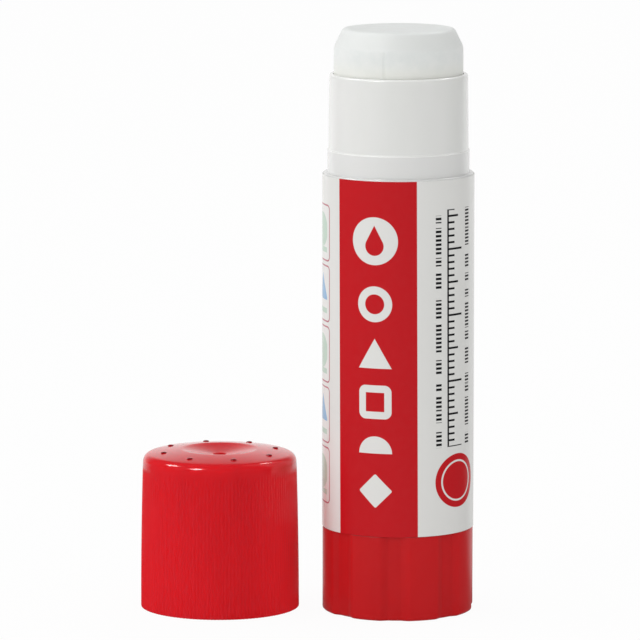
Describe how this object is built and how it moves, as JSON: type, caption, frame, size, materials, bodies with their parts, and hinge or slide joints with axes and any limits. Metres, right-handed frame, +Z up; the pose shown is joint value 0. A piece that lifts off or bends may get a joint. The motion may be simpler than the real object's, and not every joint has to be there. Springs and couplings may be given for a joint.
{
  "type": "glue stick",
  "caption": "Round twist-up glue stick, open with its cap beside it: fluted knob, labelled barrel, lead screw, nut carrier and solid glue column.",
  "frame": {"origin": "centre of the knob's flat underside, on the surface that the stick stands on", "axes": "+Z up along the barrel, -Y towards the front of the label, -X towards the cap"},
  "size_m": [0.0506, 0.0256, 0.0886],
  "materials": {
    "natural_plastic": "satin, slightly see-through natural polypropylene",
    "label_film": "printed white film, half red",
    "red_plastic": "glossy red moulding",
    "white_plastic": "plain white moulding",
    "solid_glue": "smooth, slightly moist, faintly see-through white"
  },
  "bodies": {
    "barrel": {"barrel": "natural_plastic", "label": "label_film"},
    "knob": {"knob": "red_plastic", "spindle": "white_plastic"},
    "glue": {"carrier": "white_plastic", "glue": "solid_glue"},
    "cap": {"cap": "red_plastic"}
  },
  "joints": [
    {"name": "knob_turn", "type": "hinge", "parent": "barrel", "child": "knob", "pos_m": [0, 0, 0], "axis": [0, 0, 1], "range_deg": [-612, 3297]},
    {"name": "glue_slide", "type": "slide", "parent": "barrel", "child": "glue", "axis": [0, 0, 1], "range_m": [-0.0085, 0.0458]},
    {"name": "cap_lift", "type": "slide", "parent": "barrel", "child": "cap", "axis": [0, 0, 1], "range_m": [0, 0.1]}
  ],
  "couplings": [
    {"joint": "glue_slide", "follows": "knob_turn", "m_per_rad": 0.00079577}
  ]
}
